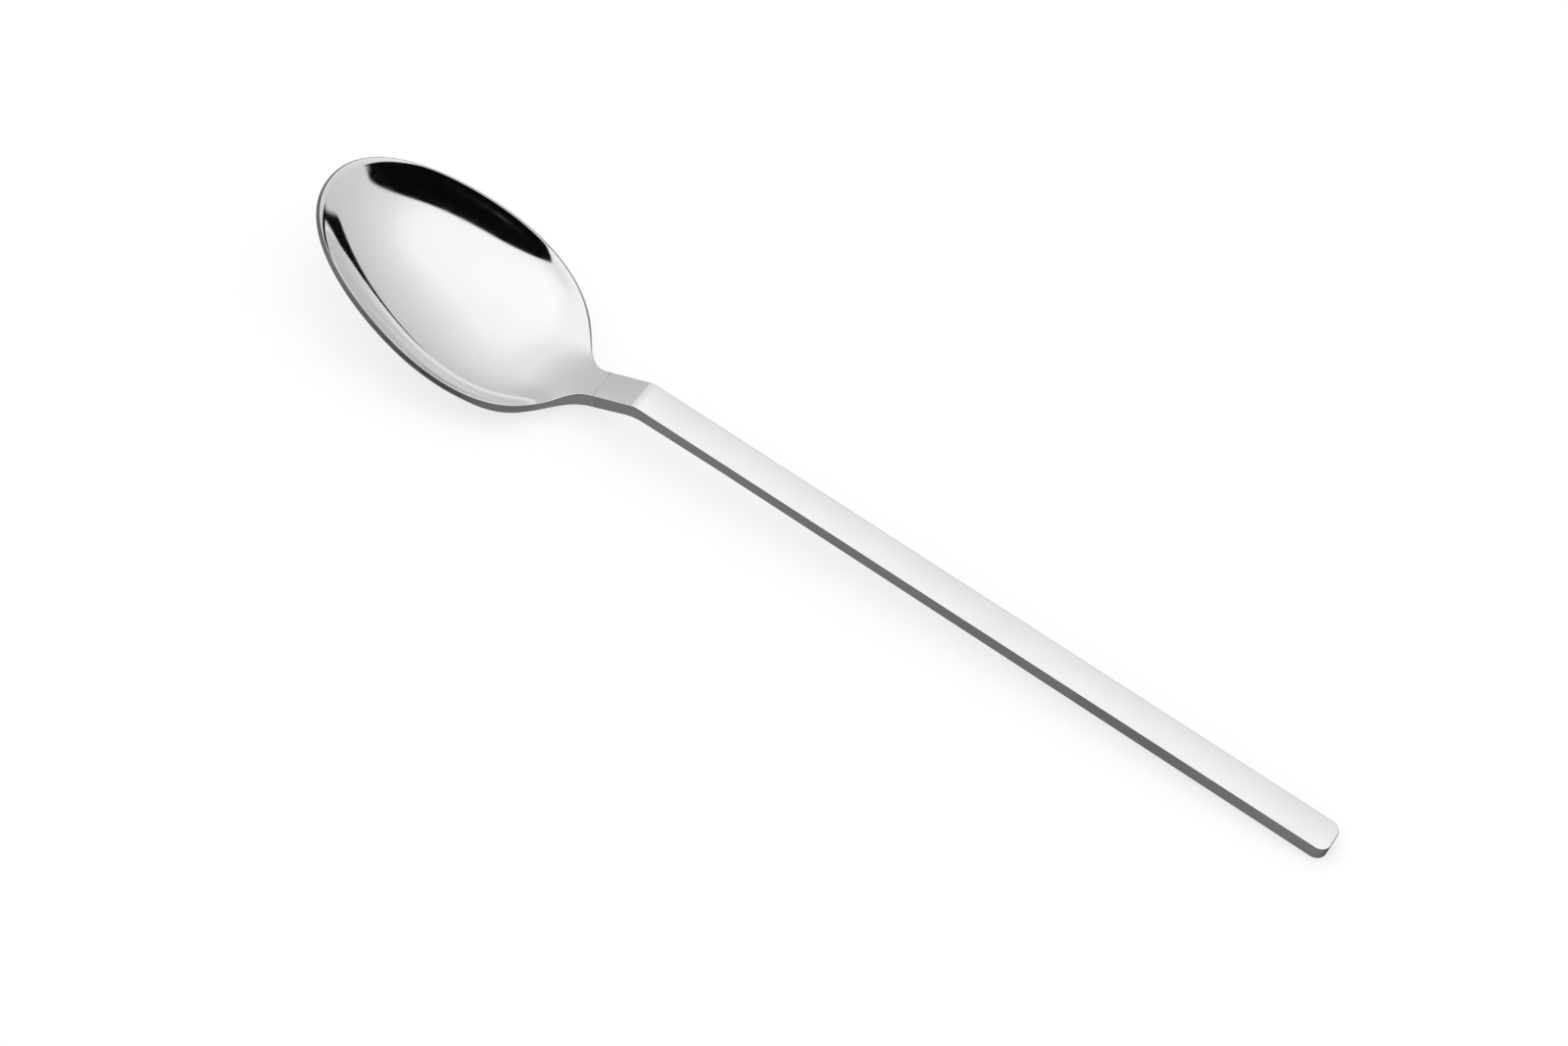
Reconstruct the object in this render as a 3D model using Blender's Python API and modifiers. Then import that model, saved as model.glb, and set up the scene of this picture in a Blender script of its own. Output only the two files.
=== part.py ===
"""Tablespoon with a cranked neck: a pressed bowl joined end to end with a flat bar handle.

The spoon is drawn with its grip level: X runs from the kink toward the end of the handle,
Y across the spoon, Z up, with the kink on the grip's top face as the origin.
The finished spoon is then tipped about Y until bowl and handle end stand on the table at Z = 0.
Lengths are in metres.
"""
from math import atan2, cos, radians, sin, tan

import bmesh
import bpy
import numpy as np
from mathutils import Matrix, Vector
from mathutils.geometry import interpolate_bezier

# Handle: a flat bar, thinnest a little way past the kink.
GRIP_LENGTH = 0.1395
END_WIDTH = 0.0070
END_THICKNESS = 0.0028
END_CORNER_RADIUS = 0.0022
WAIST_THICKNESS = 0.0022
WAIST_FROM_KINK = 0.0180
KINK_RADIUS = 0.0035
UNDER_KINK_RADIUS = 0.0080

# Neck: falls from the kink to the bowl; the joint line crosses it.
NECK_FALL = radians(27.0)
NECK_RUN = 0.0074
NECK_WIDTH = 0.0067
NECK_THICKNESS = 0.0027
JOINT_GAP = 0.0003

# Bowl: an egg-shaped dish whose rim climbs toward the tip from a foot just below the joint.
# Its depth is told at the widest place; from there it grows to the tip and shallows toward the neck.
# Its bottom is flatter and its walls steeper than a plain dish's, and less so toward the tip.
# The flat of the neck runs on into the dish. Just inside the rim the inner face rolls over a little,
# and the roll dies out from some way before the shoulder to the neck.
# The sheet is thickest in the middle and thinnest at the rim.
BOWL_LENGTH = 0.05775
BOWL_WIDTH = 0.0390
BOWL_DEPTH = 0.00705
FORE_DEEPENING = 0.0031
AFT_SHALLOWING = 0.7
BOTTOM_FLATNESS = 0.56
FLATNESS_LOST_AT_TIP = 0.55
NECK_BLENDING = 0.0020
RIM_ROLL_WIDTH = 0.0016
RIM_ROLL_RADIUS = 0.0034
RIM_ROLL_RUNOUT = 0.0060
WALL_THICKNESS = 0.00125
RIM_THICKNESS = 0.0008
RIM_CLIMB = radians(11.5)
RIM_FOOT_FROM_JOINT = 0.0056
RIM_FOOT_ROUNDING = 0.0008

# Outline of the bowl in plan: tip, widest place, shoulders and the fillets into the neck.
WIDEST_FROM_TIP = 0.0299
SHOULDER_FROM_JOINT = 0.0078
SHOULDER_WIDTH = 0.0213
SHOULDER_SLANT = radians(52.3)
NECK_STRAIGHT = 0.0006

# How far each span of the outline holds its first and last direction, as shares of its chord.
FORE_PULL = (0.424, 0.240)
AFT_PULL = (0.633, 0.132)
FILLET_PULL = (0.485, 0.310)

# Rounding of every free edge, shared so that both pieces run flush across the joint.
EDGE_ROUNDING = 0.0002

# Fineness of the bowl's mesh.
OUTLINE_STEPS = (13, 10, 9)
JOINT_STEPS = 4
RINGS = 13
RING_CROWDING = 1.25

JOINT_X = -NECK_RUN
TIP_X = JOINT_X - BOWL_LENGTH
WIDEST_X = TIP_X + WIDEST_FROM_TIP
SHOULDER_X = JOINT_X - SHOULDER_FROM_JOINT
NECK_START_X = JOINT_X - NECK_STRAIGHT
RIM_FOOT_X = JOINT_X - RIM_FOOT_FROM_JOINT


def ease(x, low, high):
    """Rise from 0 at low to 1 at high, without a jump in slope or curvature."""
    t = np.clip((x - low) / (high - low), 0.0, 1.0)
    return t ** 3 * (10.0 - 15.0 * t + 6.0 * t * t)


def neck_height(x):
    """Height of the flat that falls from the kink into the bowl."""
    return tan(NECK_FALL) * x


def climbing_rim(x):
    """Height of the line that the rim climbs along, from its foot to the tip."""
    return neck_height(RIM_FOOT_X) + tan(RIM_CLIMB) * (RIM_FOOT_X - x)


def higher_of(one, other, rounding):
    """The higher of two heights, with the corner between them rounded."""
    return (one + other + np.sqrt((one - other) ** 2 + rounding ** 2)) / 2


def rim_height(x):
    """Height of neck and rim: the falling neck rounded into the climbing rim."""
    return higher_of(neck_height(x), climbing_rim(x), RIM_FOOT_ROUNDING)


def span(start, leaving, end, arriving, pull, steps):
    """Points of one outline curve, without its last."""
    chord = (end - start).length
    first_handle = start + leaving * chord * pull[0]
    last_handle = end - arriving * chord * pull[1]
    return interpolate_bezier(start, first_handle, last_handle, end, steps + 1)[:-1]


def half_outline(steps):
    """One side of the bowl in plan, from the tip over the widest place and shoulder to the joint."""
    outward = Vector((0.0, 1.0))
    aft = Vector((1.0, 0.0))
    slant = Vector((cos(SHOULDER_SLANT), -sin(SHOULDER_SLANT)))
    tip = Vector((TIP_X, 0.0))
    widest = Vector((WIDEST_X, BOWL_WIDTH / 2))
    shoulder = Vector((SHOULDER_X, SHOULDER_WIDTH / 2))
    neck = Vector((NECK_START_X, NECK_WIDTH / 2))
    joint = Vector((JOINT_X, NECK_WIDTH / 2))
    points = span(tip, outward, widest, aft, FORE_PULL, steps[0])
    points += span(widest, aft, shoulder, slant, AFT_PULL, steps[1])
    points += span(shoulder, slant, neck, aft, FILLET_PULL, steps[2])
    return np.array([(p.x, p.y) for p in points + [neck, joint]])


def half_width_squared(x):
    """Square of the bowl's half width, and how fast that grows along the bowl."""
    fine = half_outline((80, 60, 50))
    stations = np.linspace(TIP_X, JOINT_X, 600)
    squared = np.interp(stations, fine[:, 0], fine[:, 1] ** 2)
    return np.interp(x, stations, squared), np.interp(x, stations, np.gradient(squared, stations))


def dish_height(x, y):
    """Height of the bowl's inner face: a dish hung from the rim, and the neck's flat running into it."""
    squared, growth = half_width_squared(x)
    inside = squared - y * y
    inwardness = inside / (BOWL_WIDTH / 2) ** 2
    toward_tip = (WIDEST_X - x) / WIDEST_FROM_TIP
    depth = BOWL_DEPTH + FORE_DEEPENING * np.maximum(toward_tip, 0.0) ** 2
    depth /= 1.0 + AFT_SHALLOWING * np.minimum(toward_tip, 0.0) ** 2
    flatness = BOTTOM_FLATNESS - FLATNESS_LOST_AT_TIP * toward_tip
    hollow = depth * inwardness * (1.0 + flatness * (1.0 - inwardness))
    from_rim = inside / np.maximum(np.hypot(growth, 2.0 * y), 1e-9)
    rolled = np.maximum(RIM_ROLL_WIDTH - from_rim, 0.0)
    roll = (RIM_ROLL_WIDTH ** 2 - rolled ** 2) / (2.0 * RIM_ROLL_RADIUS)
    roll *= 1.0 - ease(x, SHOULDER_X - RIM_ROLL_RUNOUT, NECK_START_X)
    blending = RIM_FOOT_ROUNDING + NECK_BLENDING * inwardness
    return higher_of(neck_height(x), climbing_rim(x) - hollow + roll, blending)


def wall_thickness(x, y):
    """Thickness of the sheet: thinning to the rim, and swelling through the shoulders to the neck's."""
    inwardness = (half_width_squared(x)[0] - y * y) / (BOWL_WIDTH / 2) ** 2
    sheet = RIM_THICKNESS + (WALL_THICKNESS - RIM_THICKNESS) * inwardness
    swell = ease(x, SHOULDER_X, NECK_START_X)
    return sheet + (NECK_THICKNESS - sheet) * swell


def polished_steel(name, tint):
    """Polished stainless steel."""
    material = bpy.data.materials.new(name)
    material.use_nodes = True
    shader = material.node_tree.nodes["Principled BSDF"]
    shader.inputs["Base Color"].default_value = (*tint, 1.0)
    shader.inputs["Metallic"].default_value = 1.0
    shader.inputs["Roughness"].default_value = 0.12
    return material


def add_piece(name, bm, material, collection, root):
    """Make a named object from a finished mesh and hang it on the root."""
    mesh = bpy.data.meshes.new(name)
    bm.to_mesh(mesh)
    bm.free()
    mesh.shade_smooth()
    mesh.materials.append(material)
    piece = bpy.data.objects.new(name, mesh)
    collection.objects.link(piece)
    piece.parent = root
    return piece


def round_edges(piece):
    """Round the edges that carry a bevel weight."""
    bevel = piece.modifiers.new("edge rounding", 'BEVEL')
    bevel.width = EDGE_ROUNDING
    bevel.segments = 2
    bevel.limit_method = 'WEIGHT'
    bevel.harden_normals = True


def rim_loop():
    """The bowl's whole outline in plan: one side, across the joint, and back along the other side."""
    side = half_outline(OUTLINE_STEPS)
    across = np.linspace(NECK_WIDTH / 2, -NECK_WIDTH / 2, JOINT_STEPS + 1)[1:-1]
    joint = np.column_stack([np.full_like(across, JOINT_X), across])
    return np.vstack([side, joint, side[:0:-1] * (1.0, -1.0)])


def make_bowl(material, collection, root):
    """Press a flat sheet into the dish, give it its thickness and round its rim."""
    rim = rim_loop()
    middle = np.array((WIDEST_X, 0.0))
    rings = 1.0 - (1.0 - np.linspace(0.0, 1.0, RINGS + 1)) ** RING_CROWDING

    # A grid is wrapped round the middle, one column for each rim point and one row for each ring.
    bm = bmesh.new()
    bmesh.ops.create_grid(bm, x_segments=len(rim), y_segments=RINGS, size=1.0)
    column = [round((vert.co.x + 1.0) / 2 * len(rim)) % len(rim) for vert in bm.verts]
    row = [round((vert.co.y + 1.0) / 2 * RINGS) for vert in bm.verts]
    plan = middle + rings[row, None] * (rim[column] - middle)
    height = dish_height(plan[:, 0], plan[:, 1])
    for vert, (x, y), z in zip(bm.verts, plan, height):
        vert.co = (x, y, z)
    bmesh.ops.remove_doubles(bm, verts=bm.verts, dist=1e-6)
    bm.normal_update()
    if sum(face.normal.z for face in bm.faces) < 0.0:
        bmesh.ops.reverse_faces(bm, faces=bm.faces)

    rounding = bm.edges.layers.float.new("bevel_weight_edge")
    for edge in bm.edges:
        on_joint = all(vert.co.x > JOINT_X - 1e-6 for vert in edge.verts)
        edge[rounding] = float(edge.is_boundary and not on_joint)
    gauge = bm.verts.layers.deform.verify()
    places = np.array([vert.co[:] for vert in bm.verts])
    for vert, thickness in zip(bm.verts, wall_thickness(places[:, 0], places[:, 1])):
        vert[gauge][0] = thickness / NECK_THICKNESS

    bowl = add_piece("bowl", bm, material, collection, root)
    bowl.vertex_groups.new(name="gauge")
    sheet = bowl.modifiers.new("sheet", 'SOLIDIFY')
    sheet.thickness = NECK_THICKNESS
    sheet.offset = -1.0
    sheet.vertex_group = "gauge"
    sheet.thickness_vertex_group = 0.0
    sheet.use_quality_normals = True
    round_edges(bowl)
    return bowl


def edges_between(bm, one, other):
    """Edges that run between two corners of the side profile, or across the bar at one corner."""
    wanted = {(round(p.x, 7), round(p.y, 7)) for p in (one, other)}
    return [edge for edge in bm.edges
            if {(round(v.co.x, 7), round(v.co.z, 7)) for v in edge.verts} == wanted]


def make_handle(material, collection, root):
    """Draw out a block at joint, kink, waist and end, then round the kink and the end's corners."""
    along_neck = Vector((cos(NECK_FALL), sin(NECK_FALL)))
    into_neck = Vector((sin(NECK_FALL), -cos(NECK_FALL)))
    half_bend = tan(NECK_FALL / 2)
    kink_thickness = (NECK_THICKNESS + WAIST_THICKNESS) / 2
    joint = Vector((JOINT_X, rim_height(JOINT_X))) + along_neck * JOINT_GAP
    top = (joint, Vector((0.0, 0.0)), Vector((WAIST_FROM_KINK, 0.0)), Vector((GRIP_LENGTH, 0.0)))
    under = (joint + into_neck * NECK_THICKNESS,
             Vector((kink_thickness * half_bend, -kink_thickness)),
             Vector((WAIST_FROM_KINK, -WAIST_THICKNESS)),
             Vector((GRIP_LENGTH, -END_THICKNESS)))
    spans = len(top) - 1

    bm = bmesh.new()
    bmesh.ops.create_cube(bm, size=1.0)
    for cut in range(1, spans):
        bmesh.ops.bisect_plane(bm, geom=bm.verts[:] + bm.edges[:] + bm.faces[:],
                               plane_co=(cut / spans - 0.5, 0.0, 0.0), plane_no=(1.0, 0.0, 0.0))
    for vert in bm.verts:
        station = round((vert.co.x + 0.5) * spans)
        x, z = (top if vert.co.z > 0.0 else under)[station]
        taper = (x - JOINT_X) / (GRIP_LENGTH - JOINT_X)
        width = NECK_WIDTH + (END_WIDTH - NECK_WIDTH) * taper
        vert.co = (x, width / 2 if vert.co.y > 0.0 else -width / 2, z)

    bends = (
        (edges_between(bm, top[1], top[1]), KINK_RADIUS * half_bend, 5),
        (edges_between(bm, under[1], under[1]), UNDER_KINK_RADIUS * half_bend, 6),
        (edges_between(bm, top[-1], under[-1]), END_CORNER_RADIUS, 8),
    )
    for edges, offset, segments in bends:
        bmesh.ops.bevel(bm, geom=edges, offset=offset, segments=segments, profile=0.5, affect='EDGES')
    bm.normal_update()

    rounding = bm.edges.layers.float.new("bevel_weight_edge")
    for edge in bm.edges:
        on_joint = any(face.normal.x < -0.8 for face in edge.link_faces)
        edge[rounding] = float(edge.calc_face_angle(0.0) > radians(60.0) and not on_joint)
    handle = add_piece("handle", bm, material, collection, root)
    round_edges(handle)
    return handle


def corners_of(piece):
    """Corners of a finished piece, in the spoon's own frame."""
    shape = piece.evaluated_get(bpy.context.evaluated_depsgraph_get()).to_mesh()
    return np.array([vert.co[:] for vert in shape.vertices])


def stand_on_table(root, bowl, handle):
    """Tip the spoon about Y until bowl and handle end share one level, and set that at Z = 0."""
    bpy.context.view_layer.update()
    dish = corners_of(bowl)
    bar = corners_of(handle)
    tipping = 0.0
    for _ in range(8):
        upward = np.array((-sin(tipping), 0.0, cos(tipping)))
        low_dish = dish[(dish @ upward).argmin()]
        low_bar = bar[(bar @ upward).argmin()]
        tipping = atan2(low_bar[2] - low_dish[2], low_bar[0] - low_dish[0])
    tipped = np.vstack([dish, bar]) @ np.array(Matrix.Rotation(tipping, 3, 'Y')).T
    low, high = tipped.min(axis=0), tipped.max(axis=0)
    root.rotation_euler.y = tipping
    root.location = (-(low[0] + high[0]) / 2, 0.0, -low[2])


def main():
    for old in list(bpy.data.objects):
        bpy.data.objects.remove(old, do_unlink=True)
    collection = bpy.data.collections.new("tablespoon")
    bpy.context.scene.collection.children.link(collection)
    root = bpy.data.objects.new("tablespoon_root", None)
    collection.objects.link(root)
    bowl = make_bowl(polished_steel("bowl_steel", (0.77, 0.77, 0.765)), collection, root)
    handle = make_handle(polished_steel("handle_steel", (0.76, 0.76, 0.755)), collection, root)
    stand_on_table(root, bowl, handle)


main()
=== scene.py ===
"""Polished steel tablespoon lying on a pale table inside a white light tent.

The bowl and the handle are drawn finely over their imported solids, mostly from the same sizes. The weld,
the crown of the grip, the rim's roll, lean and swelling, the walls at the tip and the thickness of the
sheet are refined here, because they shape the reflections.
Both are drawn with the grip level: X runs from the kink toward the end of the handle, Y across the
spoon, Z up, and the kink in the grip's top face is the origin. Lengths are in metres.
"""
from math import cos, pi, radians, sin, tan

import bmesh
import bpy
import numpy as np
from mathutils import Matrix, Quaternion, Vector
from mathutils.geometry import interpolate_bezier


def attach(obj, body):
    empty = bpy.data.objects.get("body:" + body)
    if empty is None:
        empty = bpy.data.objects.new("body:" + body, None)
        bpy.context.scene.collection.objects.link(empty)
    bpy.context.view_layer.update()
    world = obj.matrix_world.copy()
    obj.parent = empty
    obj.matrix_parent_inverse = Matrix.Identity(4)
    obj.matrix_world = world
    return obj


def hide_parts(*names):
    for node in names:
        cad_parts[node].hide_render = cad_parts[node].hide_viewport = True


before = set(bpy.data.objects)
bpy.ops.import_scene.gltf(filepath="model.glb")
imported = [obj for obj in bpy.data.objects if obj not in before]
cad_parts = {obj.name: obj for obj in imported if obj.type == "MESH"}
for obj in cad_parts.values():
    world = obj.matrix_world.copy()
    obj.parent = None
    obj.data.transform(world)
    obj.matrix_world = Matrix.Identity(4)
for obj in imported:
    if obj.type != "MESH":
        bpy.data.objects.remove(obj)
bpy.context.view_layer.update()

# How the spoon lies on the table: tipped about Y, with its kink at this place.
TIPPING = radians(2.741743)
KINK_PLACE = (-0.0370179, 0.0, 0.0094591)

# Handle: a flat bar, thinnest a little way past the kink, its top slightly crowned by buffing.
GRIP_LENGTH = 0.1395
END_WIDTH = 0.0070
END_THICKNESS = 0.0028
END_CORNER_RADIUS = 0.0022
WAIST_THICKNESS = 0.0022
WAIST_FROM_KINK = 0.0180
KINK_RADIUS = 0.0035
UNDER_KINK_RADIUS = 0.0080
TOP_CROWN = 0.00008

# Neck: falls from the kink to the bowl; the hairline of a weld ground flush crosses it.
NECK_FALL = radians(27.0)
NECK_RUN = 0.0074
NECK_WIDTH = 0.0067
NECK_THICKNESS = 0.0027
WELD_HAIRLINE = 0.00002

# Bowl: an egg-shaped dish whose rim climbs toward the tip from a foot just below the joint.
# Its depth is told at the widest place; from there it grows to the tip and shallows toward the neck.
# Its bottom is flatter and its walls steeper than a plain dish's, and less so toward the tip, where the
# walls soften once more past a share of the way there.
# The flat of the neck runs on into the dish. Just inside the rim the inner face rolls over a little,
# and the roll dies out from some way before the shoulder to the neck.
# The sheet is thickest in the middle and thinnest at the rim. The edge of the rim leans inward, and the
# dish starts at its inner brink. The rim swells a little before the shoulders, fading away from the
# edge, and then the whole sheet swells to the neck.
BOWL_LENGTH = 0.05775
BOWL_WIDTH = 0.0390
BOWL_DEPTH = 0.00705
FORE_DEEPENING = 0.0031
AFT_SHALLOWING = 0.7
BOTTOM_FLATNESS = 0.56
FLATNESS_LOST_AT_TIP = 0.55
SOFTER_TIP_WALLS = 1.0
SOFTENING_START = 0.5
NECK_BLENDING = 0.0020
RIM_ROLL_WIDTH = 0.0011
RIM_ROLL_RADIUS = 0.0034
RIM_ROLL_RUNOUT = 0.0060
WALL_THICKNESS = 0.0011
RIM_THICKNESS = 0.0008
RIM_BEVEL = 0.00026
SHOULDER_SWELL = 0.20
SWELL_START_FROM_SHOULDER = 0.0120
SWELL_FULL_FROM_SHOULDER = 0.0020
SWELL_FADING = 3.0
RIM_CLIMB = radians(11.5)
RIM_FOOT_FROM_JOINT = 0.0056
RIM_FOOT_ROUNDING = 0.0008
WIDEST_FROM_TIP = 0.0299
SHOULDER_FROM_JOINT = 0.0078
SHOULDER_WIDTH = 0.0213
SHOULDER_SLANT = radians(52.3)
NECK_STRAIGHT = 0.0006
FORE_PULL = (0.424, 0.240)
AFT_PULL = (0.633, 0.132)
FILLET_PULL = (0.485, 0.310)

# Rounding of every free edge, and the length over which the dish blends changes of the outline's curve.
EDGE_ROUNDING = 0.0002
DISH_BLENDING = 0.0009

# Fineness of the meshes. A narrow ring beside the rim keeps the roll's slope up to its edge.
OUTLINE_STEPS = (60, 44, 40)
RINGS = 56
NARROW_RING_START = 0.9965
ACROSS_BAR = 12
NECK_STEPS = 3
BEND_STEPS = 14
WAIST_STEPS = 4
GRIP_STEPS = 24
CORNER_STEPS = 10
ROUNDING_STEPS = 5

# Fineness of the sums behind the dish.
FINE_OUTLINE_STEPS = (900, 700, 500)
STATION_COUNT = 2400
SLOPE_STEP = 0.00008
LEAST_STEEPNESS = 1e-9

JOINT_X = -NECK_RUN
TIP_X = JOINT_X - BOWL_LENGTH
WIDEST_X = TIP_X + WIDEST_FROM_TIP
SHOULDER_X = JOINT_X - SHOULDER_FROM_JOINT
NECK_START_X = JOINT_X - NECK_STRAIGHT
RIM_FOOT_X = JOINT_X - RIM_FOOT_FROM_JOINT

# Finishes of the two kinds of face on each piece, the second also painted dark as shade, and the rows of
# the upper rounding that the buffing mop still reached.
POLISHED, GROUND_PAINTED_SHADE = 0, 1
BUFFED_RIM_ROWS = 2
BUFFED_SIDE_ROWS = 1


# ---- Shape of the bowl ----

def ease(x, low, high):
    """Rise from 0 at low to 1 at high, without a jump in slope or curve."""
    t = np.clip((x - low) / (high - low), 0.0, 1.0)
    return t ** 3 * (10.0 - 15.0 * t + 6.0 * t * t)


def neck_height(x):
    """Height of the flat that falls from the kink into the bowl."""
    return tan(NECK_FALL) * x


def climbing_rim(x):
    """Height of the line that the rim climbs along, from its foot to the tip."""
    return neck_height(RIM_FOOT_X) + tan(RIM_CLIMB) * (RIM_FOOT_X - x)


def higher_of(one, other, rounding):
    """The higher of two heights, with the corner between them rounded."""
    return (one + other + np.sqrt((one - other) ** 2 + rounding ** 2)) / 2


def rim_height(x):
    """Height of neck and rim: the falling neck rounded into the climbing rim."""
    return higher_of(neck_height(x), climbing_rim(x), RIM_FOOT_ROUNDING)


def outline_span(start, leaving, end, arriving, pull, steps):
    """Points of one curve of the outline, without its last."""
    chord = (end - start).length
    first_handle = start + leaving * chord * pull[0]
    last_handle = end - arriving * chord * pull[1]
    return interpolate_bezier(start, first_handle, last_handle, end, steps + 1)[:-1]


def half_outline(steps):
    """One side of the bowl in plan, from the tip over the widest place and shoulder to the joint."""
    outward = Vector((0.0, 1.0))
    aft = Vector((1.0, 0.0))
    slant = Vector((cos(SHOULDER_SLANT), -sin(SHOULDER_SLANT)))
    tip = Vector((TIP_X, 0.0))
    widest = Vector((WIDEST_X, BOWL_WIDTH / 2))
    shoulder = Vector((SHOULDER_X, SHOULDER_WIDTH / 2))
    neck = Vector((NECK_START_X, NECK_WIDTH / 2))
    joint = Vector((JOINT_X, NECK_WIDTH / 2))
    points = outline_span(tip, outward, widest, aft, FORE_PULL, steps[0])
    points += outline_span(widest, aft, shoulder, slant, AFT_PULL, steps[1])
    points += outline_span(shoulder, slant, neck, aft, FILLET_PULL, steps[2])
    return np.array([(p.x, p.y) for p in points + [neck, joint]])


def blended_half_width():
    """Stations along the bowl, and the square of its half width there with curve changes blended."""
    fine = half_outline(FINE_OUTLINE_STEPS)
    stations = np.linspace(TIP_X, JOINT_X, STATION_COUNT)
    squared = np.interp(stations, fine[:, 0], fine[:, 1] ** 2)
    step = stations[1] - stations[0]
    # The blending curve is a bell, cut off at three times its width.
    reach = int(3 * DISH_BLENDING / step)
    weights = np.exp(-0.5 * (np.arange(-reach, reach + 1) * step / DISH_BLENDING) ** 2)
    before = 2 * squared[0] - squared[reach:0:-1]
    after = 2 * squared[-1] - squared[-2:-reach - 2:-1]
    longer = np.concatenate([before, squared, after])
    return stations, np.convolve(longer, weights / weights.sum(), mode="valid")


STATIONS, HALF_WIDTH_SQUARED = blended_half_width()
NARROWING = np.gradient(HALF_WIDTH_SQUARED, STATIONS)


def rim_bevel(x):
    """How far inside the outline the dish starts; nothing at the neck."""
    return RIM_BEVEL * (1.0 - ease(x, SHOULDER_X - RIM_ROLL_RUNOUT, NECK_START_X))


def dish_height(x, y):
    """Height of the bowl's inner face: a dish hung from the rim, and the neck's flat run into it."""
    steepness = np.hypot(np.interp(x, STATIONS, NARROWING), 2.0 * y)
    inside = np.interp(x, STATIONS, HALF_WIDTH_SQUARED) - y * y - rim_bevel(x) * steepness
    inwardness = inside / (BOWL_WIDTH / 2) ** 2
    toward_tip = (WIDEST_X - x) / WIDEST_FROM_TIP
    depth = BOWL_DEPTH + FORE_DEEPENING * np.maximum(toward_tip, 0.0) ** 2
    depth /= 1.0 + AFT_SHALLOWING * np.minimum(toward_tip, 0.0) ** 2
    flatness = BOTTOM_FLATNESS - FLATNESS_LOST_AT_TIP * toward_tip
    flatness -= SOFTER_TIP_WALLS * np.maximum(toward_tip - SOFTENING_START, 0.0) ** 2
    hollow = depth * inwardness * (1.0 + flatness * (1.0 - inwardness))
    from_rim = inside / np.maximum(steepness, LEAST_STEEPNESS)
    rolled = np.maximum(RIM_ROLL_WIDTH - from_rim, 0.0)
    roll = (RIM_ROLL_WIDTH ** 2 - rolled ** 2) / (2.0 * RIM_ROLL_RADIUS)
    roll *= 1.0 - ease(x, SHOULDER_X - RIM_ROLL_RUNOUT, NECK_START_X)
    blending = RIM_FOOT_ROUNDING + NECK_BLENDING * np.maximum(inwardness, 0.0)
    return higher_of(neck_height(x), climbing_rim(x) - hollow + roll, blending)


def unit(vectors):
    return vectors / np.linalg.norm(vectors, axis=-1, keepdims=True)


def dish_normal(x, y):
    """Upward normal of the bowl's inner face."""
    d = SLOPE_STEP
    x = np.clip(x, TIP_X + d, JOINT_X - d)
    along = (dish_height(x + d, y) - dish_height(x - d, y)) / (2 * d)
    across = (dish_height(x, y + d) - dish_height(x, y - d)) / (2 * d)
    return unit(np.stack([-along, -across, np.ones_like(along)], axis=-1))


def wall_thickness(x, y):
    """Thickness of the sheet: thinning to the rim, and swelling by the shoulders to the neck's."""
    inwardness = (np.interp(x, STATIONS, HALF_WIDTH_SQUARED) - y * y) / (BOWL_WIDTH / 2) ** 2
    sheet = RIM_THICKNESS + (WALL_THICKNESS - RIM_THICKNESS) * inwardness
    near_rim = np.maximum(1.0 - SWELL_FADING * inwardness, 0.0) ** 2
    swell = SHOULDER_SWELL * near_rim * ease(x, SHOULDER_X - SWELL_START_FROM_SHOULDER,
                                             SHOULDER_X - SWELL_FULL_FROM_SHOULDER)
    swell += (1.0 - swell) * ease(x, SHOULDER_X, NECK_START_X)
    return sheet + (NECK_THICKNESS - sheet) * swell


# ---- Making a piece from rows of points ----

def rounded_corner(corner, first, last):
    """Rows of points and normals that round a corner between two faces with these normals."""
    cosine = np.sum(first * last, axis=1, keepdims=True)
    turn = np.arccos(cosine)
    centre = corner - EDGE_ROUNDING * (first + last) / (1.0 + cosine)
    normals = [(np.sin((1 - t) * turn) * first + np.sin(t * turn) * last) / np.sin(turn)
               for t in np.linspace(0.0, 1.0, ROUNDING_STEPS + 1)]
    return [centre + EDGE_ROUNDING * normal for normal in normals], normals


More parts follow.
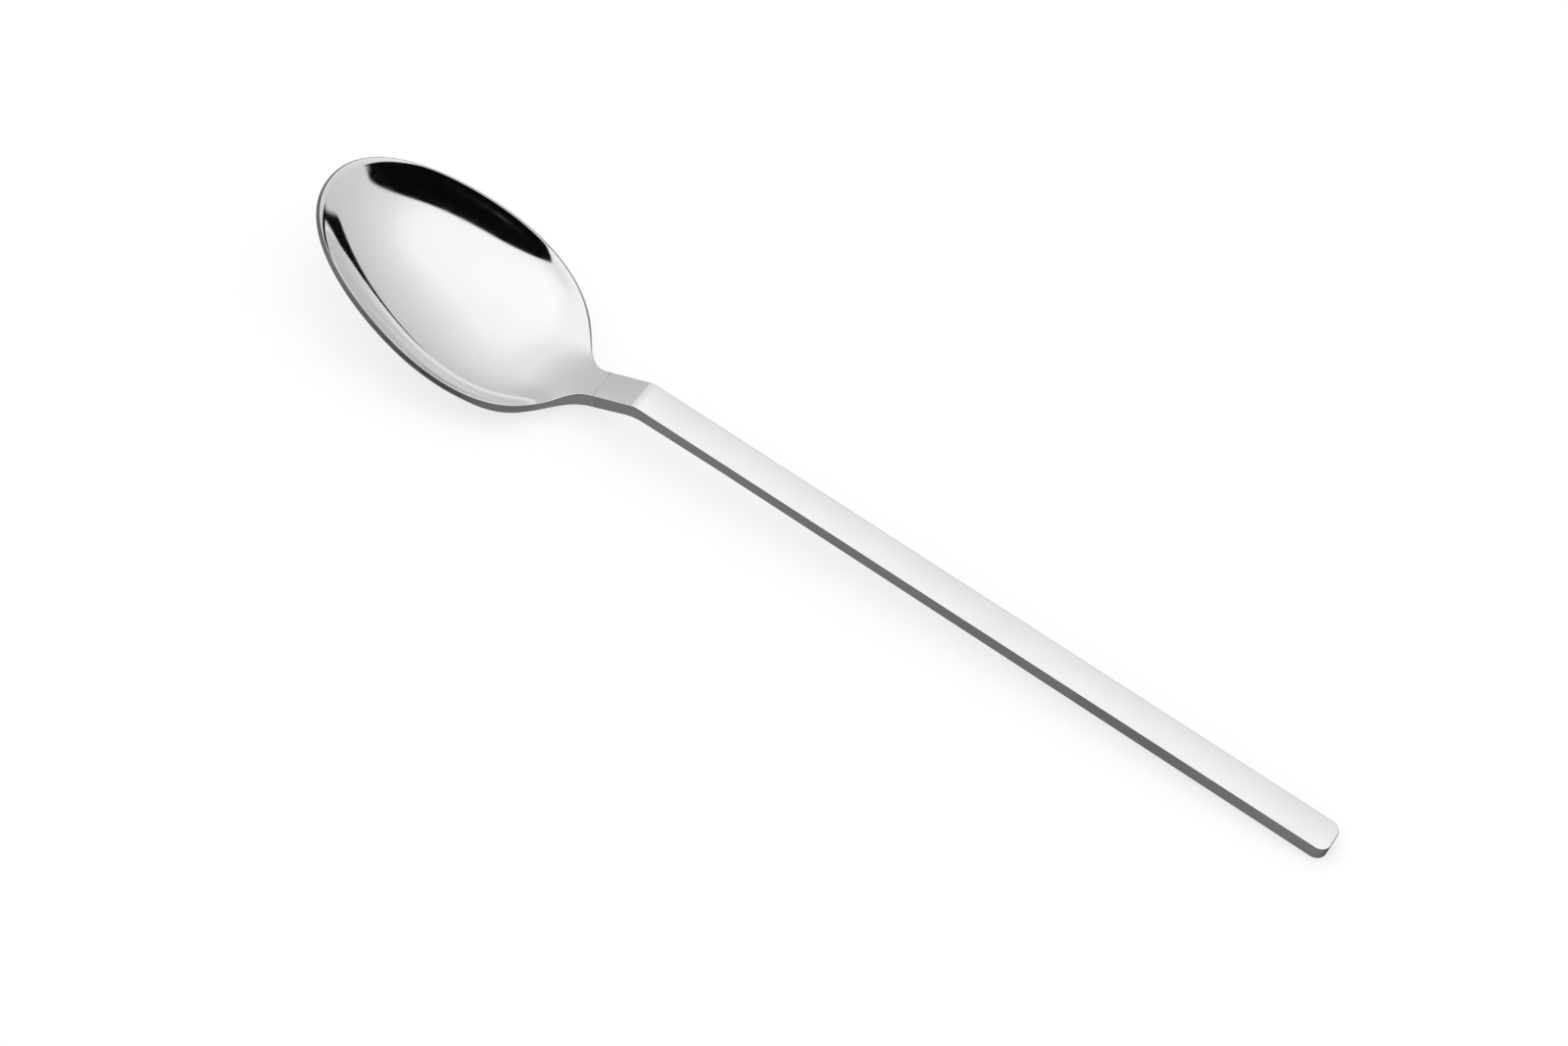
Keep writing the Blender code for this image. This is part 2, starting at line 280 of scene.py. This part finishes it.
class Skin:
    """Points, normals and faces of one piece while it is drawn."""

    def __init__(self):
        self.points, self.normals, self.faces, self.finishes = [], [], [], []
        self.count = 0

    def row(self, points, normals):
        """Add a row of points and return their numbers."""
        self.points.append(points)
        self.normals.append(normals)
        numbers = list(range(self.count, self.count + len(points)))
        self.count += len(points)
        return numbers

    def face(self, corners, finish=POLISHED):
        self.faces.append(corners)
        self.finishes.append(finish)

    def strip(self, one, other, finish=POLISHED):
        """Faces between two rows."""
        for corners in zip(one[:-1], one[1:], other[1:], other[:-1]):
            self.face(corners, finish)

    def edge(self, rows, buffed):
        """A free edge: rounded, flat and rounded again, ground and painted dark as shade all over but for
        the first few rows.
        """
        for k, (one, other) in enumerate(zip(rows[:-1], rows[1:])):
            self.strip(one, other, POLISHED if k < buffed else GROUND_PAINTED_SHADE)

    def end_face(self, upper, lower, rows):
        """The flat face that meets the other piece at the weld."""
        first_side = [row[0] for row in rows[1:-1]]
        last_side = [row[-1] for row in rows[1:-1]]
        self.face(upper + last_side + lower[::-1] + first_side[::-1], GROUND_PAINTED_SHADE)

    def piece(self, name, steel):
        """The finished object, lying on the table, with its drawn normals."""
        lying = Matrix.Translation(KINK_PLACE) @ Matrix.Rotation(TIPPING, 4, 'Y')
        mesh = bpy.data.meshes.new(name)
        mesh.from_pydata(np.vstack(self.points).tolist(), [], self.faces)
        mesh.polygons.foreach_set("material_index", self.finishes)
        mesh.transform(lying)
        shape = bmesh.new()
        shape.from_mesh(mesh)
        bmesh.ops.recalc_face_normals(shape, faces=shape.faces)
        shape.to_mesh(mesh)
        shape.free()
        mesh.shade_smooth()
        drawn = np.vstack(self.normals) @ np.array(lying.to_3x3()).T
        corner_normals = drawn[[corner.vertex_index for corner in mesh.loops]]
        weld_face = mesh.polygons[len(mesh.polygons) - 1]
        corner_normals[list(weld_face.loop_indices)] = weld_face.normal
        mesh.normals_split_custom_set(corner_normals.tolist())
        for material in steel:
            mesh.materials.append(material)
        made = bpy.data.objects.new(name, mesh)
        bpy.context.scene.collection.objects.link(made)
        return made


def draw_bowl():
    """The pressed bowl: inner and outer face in rings round the middle, and the rim between them."""
    side = half_outline(OUTLINE_STEPS)
    path = np.vstack([side[::-1], side[1:] * (1.0, -1.0)])
    along = unit(np.gradient(path, axis=0))
    brink = path + np.column_stack([-along[:, 1], along[:, 0]]) * rim_bevel(path[:, :1])
    rim, brink = (np.column_stack([line, rim_height(line[:, 0])]) for line in (path, brink))
    upward = dish_normal(brink[:, 0], brink[:, 1])
    along = np.gradient(brink, axis=0)
    along[[0, -1], 1] = 0.0
    along = unit(along)
    upward = unit(upward - along * np.sum(upward * along, axis=1, keepdims=True))
    under = rim - upward * wall_thickness(path[:, :1], path[:, 1:])
    outward = unit(np.cross(along, brink - under))
    upper_rows, upper_normals = rounded_corner(brink, upward, outward)
    lower_rows, lower_normals = rounded_corner(under, outward, -upward)

    # The last ring runs along the start of the rim's rounding and across the weld.
    edge = upper_rows[0][:, :2]
    across = np.linspace(edge[-1], edge[0], ACROSS_BAR + 1)[1:-1]
    last_ring = np.vstack([edge, across])
    middle = np.array([[WIDEST_X, 0.0]])
    skin = Skin()
    inner, outer = [], []
    for share in np.append(np.linspace(0.0, 1.0, RINGS + 1)[:-1], (NARROW_RING_START, 1.0)):
        plan = middle + share * (last_ring - middle) if share else middle
        face = np.column_stack([plan, dish_height(plan[:, 0], plan[:, 1])])
        normal = dish_normal(plan[:, 0], plan[:, 1])
        inner.append(skin.row(face, normal))
        back = face - normal * wall_thickness(plan[:, :1], plan[:, 1:])
        if share == 1.0:
            back[:len(path)] = lower_rows[-1]
        outer.append(skin.row(back, -normal))
    for rings in (inner, outer):
        closed = [ring + ring[:1] for ring in rings]
        for a, b in zip(closed[1][:-1], closed[1][1:]):
            skin.face((rings[0][0], a, b))
        for near, far in zip(closed[1:-1], closed[2:]):
            skin.strip(near, far)

    count = len(path)
    rows = [inner[-1][:count]]
    rows += [skin.row(*row) for row in zip(upper_rows[1:], upper_normals[1:])]
    rows += [skin.row(*row) for row in zip(lower_rows[:-1], lower_normals[:-1])]
    rows.append(outer[-1][:count])
    skin.edge(rows, BUFFED_RIM_ROWS)
    upper, lower = ([ring[0]] + ring[:count - 2:-1] for ring in (inner[-1], outer[-1]))
    skin.end_face(upper, lower, rows)
    return skin


# ---- Shape of the handle ----

def bar_line(joint, kink, waist, end, radius):
    """One line of the bar's side view, from the joint to the end's corners, and its upward normals."""
    runs = [unit(waist - kink), unit(kink - joint)]
    level, falling = (np.arctan2(run[1], run[0]) for run in runs)
    back = radius * tan((falling - level) / 2)
    turns = np.linspace(falling, level, BEND_STEPS + 1)
    bend_normals = np.column_stack([-np.sin(turns), np.cos(turns)])
    bend_start = kink - runs[1] * back
    bend = bend_start + radius * (bend_normals - bend_normals[0])
    last = unit(end - waist)
    last_normal = np.array((-last[1], last[0]))
    points = np.vstack([np.linspace(joint, bend_start, NECK_STEPS + 1)[:-1],
                        bend,
                        np.linspace(bend[-1], waist, WAIST_STEPS + 1)[1:],
                        np.linspace(waist, end, GRIP_STEPS + 1)[1:]])
    normals = np.vstack([np.tile(bend_normals[0], (NECK_STEPS, 1)),
                         bend_normals,
                         np.tile(bend_normals[-1], (WAIST_STEPS - 1, 1)),
                         np.tile(last_normal, (GRIP_STEPS + 1, 1))])
    return points, normals


def half_width(x):
    """Half width of the bar, tapering evenly from its end to the neck."""
    share = (x - JOINT_X) / (GRIP_LENGTH - JOINT_X)
    return (NECK_WIDTH + (END_WIDTH - NECK_WIDTH) * share) / 2


def under_height(x):
    """Height of the grip's underside, which thickens evenly from the waist to the end."""
    share = (x - WAIST_FROM_KINK) / (GRIP_LENGTH - WAIST_FROM_KINK)
    return -(WAIST_THICKNESS + (END_THICKNESS - WAIST_THICKNESS) * share)


def in_space(plane, y):
    """Points or normals of the side view, set at y across the spoon."""
    return np.column_stack([plane[:, 0], np.broadcast_to(y, len(plane)), plane[:, 1]])


def draw_handle():
    """The bar: neck, kink, and grip with round-cornered end."""
    along_neck = np.array((cos(NECK_FALL), sin(NECK_FALL)))
    into_neck = np.array((sin(NECK_FALL), -cos(NECK_FALL)))
    kink_thickness = (NECK_THICKNESS + WAIST_THICKNESS) / 2
    corner_x = GRIP_LENGTH - END_CORNER_RADIUS
    joint = np.array((JOINT_X, rim_height(JOINT_X))) + along_neck * WELD_HAIRLINE
    kink, waist, end = (np.array((x, 0.0)) for x in (0.0, WAIST_FROM_KINK, corner_x))
    top, top_up = bar_line(joint, kink, waist, end, KINK_RADIUS)
    under, under_up = bar_line(
        joint + into_neck * NECK_THICKNESS,
        np.array((kink_thickness * tan(NECK_FALL / 2), -kink_thickness)),
        waist - (0.0, WAIST_THICKNESS),
        np.array((corner_x, under_height(corner_x))),
        UNDER_KINK_RADIUS)

    # Plan: along one side, round the end's two corners, and back along the other side.
    turns = np.linspace(pi / 2, 0.0, CORNER_STEPS + 1)[1:]
    corner_y = END_WIDTH / 2 - END_CORNER_RADIUS
    round_x = corner_x + END_CORNER_RADIUS * np.cos(turns)
    round_y = corner_y + END_CORNER_RADIUS * np.sin(turns)
    cross_y = np.linspace(corner_y, -corner_y, ACROSS_BAR + 1)[1:-1]
    stations = len(top) + CORNER_STEPS
    end_x = np.concatenate([round_x, np.full(len(cross_y), GRIP_LENGTH), round_x[::-1]])
    end_y = np.concatenate([round_y, cross_y, -round_y[::-1]])
    end_out = np.vstack([np.column_stack([np.cos(turns), np.sin(turns), 0 * turns]),
                         np.tile((1.0, 0.0, 0.0), (len(cross_y), 1)),
                         np.column_stack([np.cos(turns), -np.sin(turns), 0 * turns])[::-1]])
    flat, flat_under = np.zeros_like(end_x), under_height(end_x)
    wide = half_width(top[:, 0])
    sideways = np.tile((0.0, 1.0, 0.0), (len(top), 1))
    upper = np.vstack([in_space(top, wide),
                       np.column_stack([end_x, end_y, flat]),
                       in_space(top, -wide)[::-1]])
    lower = np.vstack([in_space(under, wide),
                       np.column_stack([end_x, end_y, flat_under]),
                       in_space(under, -wide)[::-1]])
    out = np.vstack([sideways, end_out, -sideways])
    top_up, under_up = in_space(top_up, 0.0), in_space(under_up, 0.0)
    up = np.vstack([top_up, np.tile((0.0, 0.0, 1.0), (len(end_x), 1)), top_up[::-1]])
    down = -np.vstack([under_up, np.tile(under_up[-1], (len(end_x), 1)), under_up[::-1]])

    def crowned(points, normals):
        """Points and normals of the top face, fallen away toward the sides."""
        half = half_width(points[:, :1])
        fall = points[:, 1:2] / half
        tilt = np.column_stack([0 * half, 2 * TOP_CROWN * fall / half, 0 * half])
        return points - TOP_CROWN * fall ** 2 * normals, unit(normals + tilt)

    corners, tilted = crowned(upper, up)
    upper_rows, upper_normals = rounded_corner(corners, tilted, out)
    lower_rows, lower_normals = rounded_corner(lower, out, down)
    skin = Skin()
    rows = [skin.row(*row) for row in zip(upper_rows + lower_rows, upper_normals + lower_normals)]
    skin.edge(rows, BUFFED_SIDE_ROWS)

    # Top and underside, in rows across the bar from the joint to the end.
    shares = np.linspace(0.0, 1.0, ACROSS_BAR + 1)[1:-1, None]
    flat_brink = rounded_corner(upper, up, out)[0][0]
    first_rows = []
    for brink, numbers, facing in ((flat_brink, rows[0], up), (lower_rows[-1], rows[-1], down)):
        before = None
        for k in range(stations):
            if k < stations - 1:
                between = brink[k] + shares * (brink[-1 - k] - brink[k])
                normals = np.tile(facing[k], (len(between), 1))
                if facing is up:
                    between, normals = crowned(between, normals)
                row = [numbers[k]] + skin.row(between, normals) + [numbers[-1 - k]]
            else:
                row = numbers[k:len(numbers) - k]
            if before:
                skin.strip(before, row)
            else:
                first_rows.append(row)
            before = row
    skin.end_face(*first_rows, rows)
    return skin


# ---- Finishes ----

# Sizes of the patterns, in millimetres across. Real buffing strokes are about 0.02 mm apart and belt
# lines about 0.03 mm; both are drawn much coarser so that they show.
BOWL_STROKE = (2.2, 2.2, 2.2)
HANDLE_STROKE = (9.0, 0.5, 0.5)
BUFFED_PATCH = 11.0
PRESSING_WAVE = 9.0
BELT_LINE = (6.0, 6.0, 0.16)
GROUND_PATCH = 40.0
LAMINATE_GRAIN = 1.5

# Heights of the patterns, in metres, and how far roughness runs on each finish.
WAVE_HEIGHT = 0.000008
STROKE_DEPTH = 0.0000012
BELT_LINE_DEPTH = 0.00002
CLEAREST_POLISH, DULLEST_POLISH = 0.035, 0.085
GROUND_ROUGHNESS_RANGE = 0.14


def linear(hex_colour):
    """Linear RGBA of an sRGB hex colour."""
    parts = [int(hex_colour[k:k + 2], 16) / 255 for k in (1, 3, 5)]
    return [p / 12.92 if p <= 0.04045 else ((p + 0.055) / 1.055) ** 2.4 for p in parts] + [1.0]


def add(tree, kind, inputs=(), **settings):
    """Add a node with these settings; an input takes a value or another node's output."""
    node = tree.nodes.new("ShaderNode" + kind)
    for name, value in settings.items():
        setattr(node, name, value)
    for name, value in dict(inputs).items():
        if isinstance(value, bpy.types.NodeSocket):
            tree.links.new(value, node.inputs[name])
        else:
            node.inputs[name].default_value = value
    return node


def new_finish(name):
    """A new material, and its emptied node tree."""
    material = bpy.data.materials.new(name)
    material.use_nodes = True
    material.node_tree.nodes.clear()
    return material, material.node_tree


def per_mm(size):
    """Pattern scale that gives a pattern this many millimetres across."""
    return 1000.0 / size


def mirror_polished(name, pale, deep, stroke):
    """Stainless steel, pressed and buffed to a mirror. Reflections stay clear, but they waver a little
    from the slow waves that pressing leaves, and dull in faint strokes where the buffing mop ran.
    stroke gives the size of a stroke along X, Y and Z."""
    material, tree = new_finish(name)
    place = add(tree, "TexCoord").outputs["Object"]
    stretched = add(tree, "Mapping", {"Vector": place, "Scale": [per_mm(size) for size in stroke]})
    mop = add(tree, "TexNoise", {"Vector": stretched.outputs["Vector"], "Scale": 1.0, "Detail": 4.0,
                                 "Roughness": 0.62})
    patches = add(tree, "TexNoise", {"Vector": place, "Scale": per_mm(BUFFED_PATCH), "Detail": 2.0})
    waves = add(tree, "TexNoise", {"Vector": place, "Scale": per_mm(PRESSING_WAVE), "Detail": 1.0})
    shade = add(tree, "Mix", {"Factor": patches.outputs["Fac"], "A": linear(pale), "B": linear(deep)},
                data_type='RGBA')
    dulling = add(tree, "MapRange", {"Value": mop.outputs["Fac"], "From Min": 0.3, "From Max": 0.75,
                                     "To Min": CLEAREST_POLISH, "To Max": DULLEST_POLISH})
    waver = add(tree, "Bump", {"Height": waves.outputs["Fac"], "Strength": 0.5,
                               "Distance": WAVE_HEIGHT})
    scratch = add(tree, "Bump", {"Height": mop.outputs["Fac"], "Strength": 0.25,
                                 "Distance": STROKE_DEPTH, "Normal": waver.outputs["Normal"]})
    steel = add(tree, "BsdfPrincipled", {"Base Color": shade.outputs["Result"], "Metallic": 1.0,
                                         "Roughness": dulling.outputs["Result"],
                                         "Normal": scratch.outputs["Normal"]})
    add(tree, "OutputMaterial", {"Surface": steel.outputs["BSDF"]})
    return material


def ground_edge_painted_shade(name, pale, deep, tint, dullest):
    """Stainless steel edge, ground with a belt and left unbuffed: duller than the faces, with fine lines
    along the edge.
    Its dark grey colour is painted shade, standing in for darker surroundings reflected in the edge. tint
    colours what it reflects at a slant, where it is grey a painted shade too, and dullest is its greatest
    roughness."""
    material, tree = new_finish(name)
    place = add(tree, "TexCoord").outputs["Object"]
    belt = add(tree, "Mapping", {"Vector": place, "Scale": [per_mm(size) for size in BELT_LINE]})
    lines = add(tree, "TexNoise", {"Vector": belt.outputs["Vector"], "Scale": 1.0, "Detail": 3.0})
    patches = add(tree, "TexNoise", {"Vector": place, "Scale": per_mm(GROUND_PATCH), "Detail": 2.0})
    shade = add(tree, "Mix", {"Factor": patches.outputs["Fac"], "A": linear(pale), "B": linear(deep)},
                data_type='RGBA')
    dulling = add(tree, "MapRange", {"Value": lines.outputs["Fac"], "From Min": 0.3, "From Max": 0.7,
                                     "To Min": dullest - GROUND_ROUGHNESS_RANGE, "To Max": dullest})
    relief = add(tree, "Bump", {"Height": lines.outputs["Fac"], "Strength": 0.5,
                                "Distance": BELT_LINE_DEPTH})
    steel = add(tree, "BsdfPrincipled", {"Base Color": shade.outputs["Result"], "Metallic": 1.0,
                                         "Specular Tint": linear(tint),
                                         "Roughness": dulling.outputs["Result"],
                                         "Normal": relief.outputs["Normal"]})
    add(tree, "OutputMaterial", {"Surface": steel.outputs["BSDF"]})
    return material


# ---- The spoon ----

# The edges' dark greys, and the grey slant tint on the handle's sides, are painted shade for darker
# surroundings reflected in them.
bowl_finishes = (mirror_polished("buffed_stainless_bowl", "#E8E8E7", "#E0E0DF", BOWL_STROKE),
                 ground_edge_painted_shade("ground_stainless_rim_painted_shade", "#7E7E7E", "#6C6C6D", "#FFFFFF", dullest=0.34))
handle_finishes = (mirror_polished("buffed_stainless_handle", "#E6E6E5", "#DEDEDD", HANDLE_STROKE),
                   ground_edge_painted_shade("ground_stainless_sides_painted_shade", "#868686", "#626263", "#909090", dullest=0.44))

bowl = draw_bowl().piece("polished_bowl", bowl_finishes)
handle = draw_handle().piece("polished_handle", handle_finishes)
for piece, node, slot in ((bowl, "bowl", "bowl_steel"), (handle, "handle", "handle_steel")):
    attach(piece, "root")
    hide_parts(node)


# ---- Table, light tent and camera ----

# The table: half its side, how far it lies below the spoon's place, and the lift that makes it white to
# the eye, full near the spoon and less from some way off, which paints shade over the far table.
TABLE_REACH = 9.0
TABLE_DROP = 0.00002
NEAR_LIFT, NEAR_LIFT_ENDS = 0.60, 0.25
FAR_LIFT, FAR_LIFT_STARTS = 0.24, 0.60


def pale_table():
    """A table top of pale matt laminate, with a grain too faint to show from afar. It is lifted to
    white for the eye and in the steel, and keeps the spoon's shadow; less lift farther off paints shade
    on it."""
    material, tree = new_finish("matt_white_laminate")
    path = add(tree, "LightPath")
    seen = add(tree, "Math", {0: path.outputs["Is Camera Ray"], 1: path.outputs["Is Glossy Ray"]},
               operation='MAXIMUM')
    seen = add(tree, "Math", {0: seen.outputs["Value"], 1: path.outputs["Is Transmission Ray"]},
               operation='MAXIMUM')
    place = add(tree, "TexCoord").outputs["Object"]
    away = add(tree, "VectorMath", {0: place}, operation='LENGTH')
    # Less lift away from the spoon: painted shade over the far table.
    near = add(tree, "MapRange", {"Value": away.outputs["Value"],
                                  "From Min": NEAR_LIFT_ENDS, "From Max": FAR_LIFT_STARTS,
                                  "To Min": NEAR_LIFT, "To Max": FAR_LIFT},
               interpolation_type='SMOOTHSTEP')
    lift = add(tree, "Math", {0: seen.outputs["Value"], 1: near.outputs["Result"]},
               operation='MULTIPLY')
    grain = add(tree, "TexNoise", {"Vector": place, "Scale": per_mm(LAMINATE_GRAIN), "Detail": 3.0})
    shade = add(tree, "Mix", {"Factor": grain.outputs["Fac"],
                              "A": linear("#B6B6B6"), "B": linear("#B2B2B2")}, data_type='RGBA')
    top = add(tree, "BsdfPrincipled", {"Base Color": shade.outputs["Result"], "Roughness": 0.9,
                                       "Specular IOR Level": 0.0,
                                       "Emission Color": linear("#FFFFFF"),
                                       "Emission Strength": lift.outputs["Value"]})
    add(tree, "OutputMaterial", {"Surface": top.outputs["BSDF"]})
    mesh = bpy.data.meshes.new("table_top")
    corners = [(TABLE_REACH * x, TABLE_REACH * y, 0) for x, y in ((-1, -1), (1, -1), (1, 1), (-1, 1))]
    mesh.from_pydata(corners, [], [(0, 1, 2, 3)])
    mesh.materials.append(material)
    table = bpy.data.objects.new("table_top", mesh)
    table.location.z = -TABLE_DROP
    bpy.context.scene.collection.objects.link(table)


# Brightness of the tent by elevation in degrees, brightest overhead.
TENT_PEAK = 1.22
TENT = ((0, 0.56), (12, 0.59), (25, 0.646), (35, 0.702), (45, 0.789), (50, 0.879), (55, 0.953),
        (62, 0.982), (70, 1.0))

# Dark places round the tent. Each lies where a direction from the spoon leans toward all of its edges'
# directions; corners gives the rounding where each further edge meets those before it.
OPEN_FRONT = {"edges": ((0.5345, -0.6336, -0.5593),
                        (0.3013, -0.9535, 0.0000),
                        (-0.5077, 0.0189, 0.8613),
                        (-0.1782, -0.7369, 0.6521),
                        (-0.2504, 0.5749, 0.7790)),
              "corners": (0.05, 0.08, 0.03, 0.03),
              "blur": 0.032}
GAP_AT_FAR_FOOT = {"edges": ((0.1126, 0.1317, -0.9849),
                             (-0.6981, 0.3638, 0.6167),
                             (0.8932, 0.4497, 0.0047)),
                   "corners": (0.05, 0.04),
                   "blur": 0.025}
DARKNESS = 0.002

# The left wall, where a lamp stands close behind the cloth: its direction, how far a direction leans
# that way and up where the lamp's light starts and is full, and its brightness.
LEFT_WALL = (-0.998, 0.061, 0.0)
LEFT_WALL_ACROSS = (0.29, 0.60)
LEFT_WALL_UP = (0.40, 0.66)
LEFT_WALL_BRIGHTNESS = 0.923

# The far left corner, where the cloth hangs in folds and is a little dimmer.
FOLDS = (-0.677, 0.618, 0.398)
FOLDS_REACH = (0.88, 1.0)
FOLDS_DIMMING = 0.125


def grey(brightness):
    """Linear RGBA of a brightness."""
    return (brightness, brightness, brightness, 1.0)


def light_tent():
    """A white tent, dimmer toward the table, with an open front and a dark gap along its far foot."""
    world = bpy.data.worlds.new("white_light_tent")
    bpy.context.scene.world = world
    world.use_nodes = True
    tree = world.node_tree
    tree.nodes.clear()
    toward = add(tree, "TexCoord").outputs["Generated"]
    height = add(tree, "SeparateXYZ", {"Vector": toward}).outputs["Z"]

    def dark_place(edges, corners, blur):
        """1 in a place bounded by straight edges, with rounded corners, and 0 outside."""
        leanings = [add(tree, "VectorMath", {0: toward, 1: edge}, operation='DOT_PRODUCT')
                    for edge in edges]
        inside = leanings[0]
        for leaning, corner in zip(leanings[1:], corners):
            inside = add(tree, "Math", {0: inside.outputs["Value"], 1: leaning.outputs["Value"],
                                        2: corner}, operation='SMOOTH_MIN')
        place = add(tree, "MapRange", {"Value": inside.outputs["Value"],
                                       "From Min": -blur / 2, "From Max": blur / 2},
                    interpolation_type='SMOOTHSTEP')
        return place.outputs["Result"]

    cloth = add(tree, "ValToRGB", {"Fac": height})
    ramp = cloth.color_ramp.elements
    for k, (elevation, brightness) in enumerate(TENT):
        stop = ramp[k] if k < 2 else ramp.new(1.0)
        stop.position = sin(radians(elevation))
        stop.color = grey(brightness)

    leftward = add(tree, "VectorMath", {0: toward, 1: LEFT_WALL}, operation='DOT_PRODUCT')
    across = add(tree, "MapRange", {"Value": leftward.outputs["Value"],
                                    "From Min": LEFT_WALL_ACROSS[0], "From Max": LEFT_WALL_ACROSS[1]},
                 interpolation_type='SMOOTHSTEP')
    raised = add(tree, "MapRange", {"Value": height,
                                    "From Min": LEFT_WALL_UP[0], "From Max": LEFT_WALL_UP[1]},
                 interpolation_type='SMOOTHSTEP')
    wall = add(tree, "Math", {0: across.outputs["Result"], 1: raised.outputs["Result"]},
               operation='MULTIPLY')
    lamplit = add(tree, "Mix", {"Factor": wall.outputs["Value"], "A": cloth.outputs["Color"],
                                "B": grey(LEFT_WALL_BRIGHTNESS)}, data_type='RGBA')

    cornerward = add(tree, "VectorMath", {0: toward, 1: FOLDS}, operation='DOT_PRODUCT')
    folds = add(tree, "MapRange", {"Value": cornerward.outputs["Value"], "To Max": FOLDS_DIMMING,
                                   "From Min": FOLDS_REACH[0], "From Max": FOLDS_REACH[1]},
                interpolation_type='SMOOTHSTEP')
    folded = add(tree, "Mix", {"Factor": folds.outputs["Result"], "A": lamplit.outputs["Result"],
                               "B": grey(0.0)}, data_type='RGBA')

    dark = add(tree, "Math", {0: dark_place(**OPEN_FRONT), 1: dark_place(**GAP_AT_FAR_FOOT)},
               operation='MAXIMUM')
    seen = add(tree, "Mix", {"Factor": dark.outputs["Value"], "A": folded.outputs["Result"],
                             "B": grey(DARKNESS)}, data_type='RGBA')
    glow = add(tree, "Background", {"Color": seen.outputs["Result"], "Strength": TENT_PEAK})
    add(tree, "OutputWorld", {"Surface": glow.outputs["Background"]})


# The camera: focal length and sensor in millimetres, the rest in metres and radians.
FOCAL_LENGTH = 160.94
SENSOR_WIDTH = 36.0
FARTHEST_SEEN = 50.0
CAMERA_PLACE = (0.139675, -0.741495, 0.929333)
CAMERA_AIM = Vector((-0.005112, -0.004549, 0.005))
CAMERA_ROLL = radians(22.4746)


def place_camera():
    """Long lens from above the near side, rolled so that the handle runs down to the right."""
    lens = bpy.data.cameras.new("camera")
    lens.lens = FOCAL_LENGTH
    lens.sensor_width = SENSOR_WIDTH
    lens.clip_end = FARTHEST_SEEN
    camera = bpy.data.objects.new("camera", lens)
    camera.location = CAMERA_PLACE
    look = (CAMERA_AIM - camera.location).to_track_quat('-Z', 'Y')
    camera.rotation_mode = 'QUATERNION'
    camera.rotation_quaternion = look @ Quaternion((0.0, 0.0, 1.0), CAMERA_ROLL)
    bpy.context.scene.collection.objects.link(camera)
    bpy.context.scene.camera = camera


pale_table()
light_tent()
place_camera()
bpy.context.scene.view_settings.view_transform = 'Standard'

bpy.context.view_layer.update()
